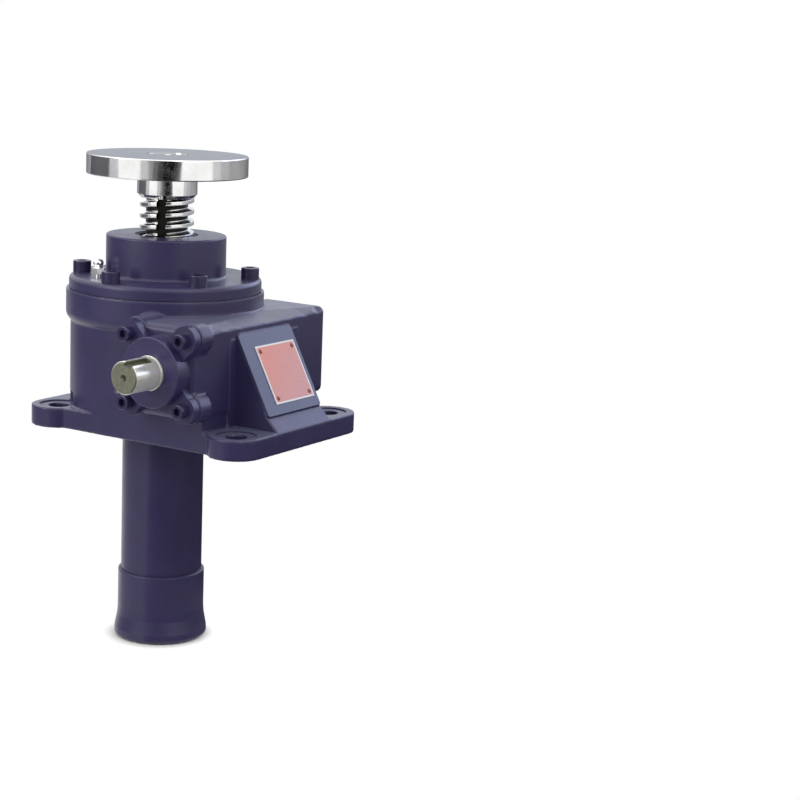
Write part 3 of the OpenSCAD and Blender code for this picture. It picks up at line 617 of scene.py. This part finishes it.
def glowing(name, mesh, level):
    """Makes a mesh a studio card that only reflections show."""
    obj = new_object(name, mesh)
    mat, tree, surface = empty_material(name)
    glow = tree.nodes.new("ShaderNodeEmission")
    glow.inputs["Color"].default_value = (*level, 1)
    tree.links.new(glow.outputs[0], surface)
    mesh.materials.append(mat)
    obj.visible_camera = obj.visible_diffuse = obj.visible_shadow = False
    obj.visible_transmission = obj.visible_volume_scatter = False


def strip(name, azimuth, steps, edges, level):
    """Card in steps between two azimuths; edges gives its two edge points at an azimuth."""
    verts = []
    for i in range(steps + 1):
        verts.extend(edges(math.radians(azimuth[0] + (azimuth[1] - azimuth[0]) * i / steps)))
    mesh = bpy.data.meshes.new(name)
    mesh.from_pydata(verts, [], [(2 * i, 2 * i + 1, 2 * i + 3, 2 * i + 2) for i in range(steps)])
    glowing(name, mesh, level)


def card(name, azimuth, elevation, level):
    """Upright curved card round the middle of the jack, between two azimuths and two elevations."""
    rises = [math.radians(e) for e in elevation]
    strip(name, azimuth, 12, lambda a: [
        centre + CARD_FAR * Vector((math.cos(e) * math.cos(a), math.cos(e) * math.sin(a), math.sin(e)))
        for e in rises], level)


def floor_card(name, azimuth, level):
    """Sector of the floor as reflections see it."""
    strip(name, azimuth, 16, lambda a: [Vector((r * math.cos(a), r * math.sin(a), -0.2 * MM))
                                        for r in (0.16, 1.6)], level)


scene = bpy.context.scene
centre = Vector((0, -0.03, 0.24))
lamp("key", (-1.5, 0.7, 0.9), 0.9, 9)
lamp("front", (-0.6, -1.6, 1.2), 1.2, 5)
lamp("top", (0.1, 0.3, 1.7), 2.6, 13)

# Camera, glossy and transmission rays see a white world; other rays are lit by a dimmer one
WORLD_LIGHT = 0.55
world = bpy.data.worlds.new("studio")
scene.world = world
world.use_nodes = True
tree = world.node_tree
background = tree.nodes["Background"]
background.inputs["Color"].default_value = (1, 1, 1, 1)
ray = tree.nodes.new("ShaderNodeLightPath").outputs
seen = math_node(tree, "MAXIMUM", ray["Is Camera Ray"],
                 math_node(tree, "MAXIMUM", ray["Is Glossy Ray"], ray["Is Transmission Ray"]))
tree.links.new(spread(tree, seen, 0, 1, WORLD_LIGHT, 1.0), background.inputs["Strength"])

# Elevations of the bands, as seen from the middle of the jack: tube, body, then hub and plate rim
CARD_FAR = 2.4
TUBE, BODY, RIM, SIDE = (-28, -12), (-12, -5), (-3.5, 6), (-12, 6)
for start, end, level in [(180, 192, 0.55), (192, 198, 0.30), (198, 205, 0.14), (205, 212, 0.045),
                          (212, 227, 0.006), (227, 232, 0.05), (232, 237, 0.14)]:
    card("flag_front_%d" % start, (start, end), RIM, (level, level, level * 1.03))
for start, end, level in [(-76, -62, 0.60), (-62, -45, 0.47), (-45, 31, 0.38)]:
    card("card_rim_%d" % (start + 90), (start, end), (-12, 5), (level, level, level * 1.03))
card("flag_body", (130, 284), BODY, (0.13, 0.13, 0.135))
card("flag_low_front", (178, 284), TUBE, (0.03, 0.03, 0.032))
card("flag_low_right", (-76, 31), TUBE, (0.10, 0.10, 0.105))
card("flag_left", (82, 130), SIDE, (0.13, 0.13, 0.145))
card("card_low_left", (85, 165), TUBE, (0.62, 0.62, 0.64))
card("card_far_left", (52, 82), SIDE, (0.50, 0.50, 0.54))
card("card_left", (130, 146), (-5, 6), (0.55, 0.55, 0.57))
card("card_behind", (14, 50), (5, 30), (0.80, 0.84, 0.93))
card("card_right", (-55, 14), (10, 42), (2.0, 2.2, 3.0))
floor_card("floor_right", (-75, 45), (0.03, 0.03, 0.035))
floor_card("floor_front", (178, 284), (0.03, 0.03, 0.032))

# The floor shows only near the foot, where the shadow falls, and fades out round it
FADE = (0.0385, 0.050)
bm = bmesh.new()
bmesh.ops.create_circle(bm, cap_ends=True, segments=96, radius=0.9)
floor = new_object("floor", mesh_of("floor", bm))
floor.location = (-1 * MM, 1 * MM, -0.5 * MM)
mat, tree, surface = empty_material("floor_white")
diffuse = tree.nodes.new("ShaderNodeBsdfDiffuse")
diffuse.inputs["Color"].default_value = (0.86, 0.83, 0.80, 1)
clear = tree.nodes.new("ShaderNodeBsdfTransparent")
mix = tree.nodes.new("ShaderNodeMixShader")
length = tree.nodes.new("ShaderNodeVectorMath")
length.operation = "LENGTH"
tree.links.new(place(tree), length.inputs[0])
tree.links.new(spread(tree, length.outputs["Value"], *FADE), mix.inputs[0])
tree.links.new(diffuse.outputs[0], mix.inputs[1])
tree.links.new(clear.outputs[0], mix.inputs[2])
tree.links.new(mix.outputs[0], surface)
floor.data.materials.append(mat)

# The camera stands where the photograph was taken from
CAMERA_AT = (-1.33434, -1.06977, 0.56282)
YAW, PITCH, ROLL = (math.radians(a) for a in (31.580, 11.218, 2.332))
camera_data = bpy.data.cameras.new("camera")
camera_data.lens = 86.473
camera_data.sensor_width = 36
camera_data.clip_start = 0.05
camera_data.clip_end = 20
camera = new_object("camera", camera_data)
forward = Vector((math.cos(PITCH) * math.cos(YAW), math.cos(PITCH) * math.sin(YAW), -math.sin(PITCH)))
level_right = forward.cross(Vector((0, 0, 1))).normalized()
level_up = level_right.cross(forward)
right = level_right * math.cos(ROLL) + level_up * math.sin(ROLL)
up = level_up * math.cos(ROLL) - level_right * math.sin(ROLL)
camera.matrix_world = Matrix.Translation(CAMERA_AT) @ Matrix((right, up, -forward)).transposed().to_4x4()
scene.camera = camera
scene.view_settings.view_transform = "Standard"
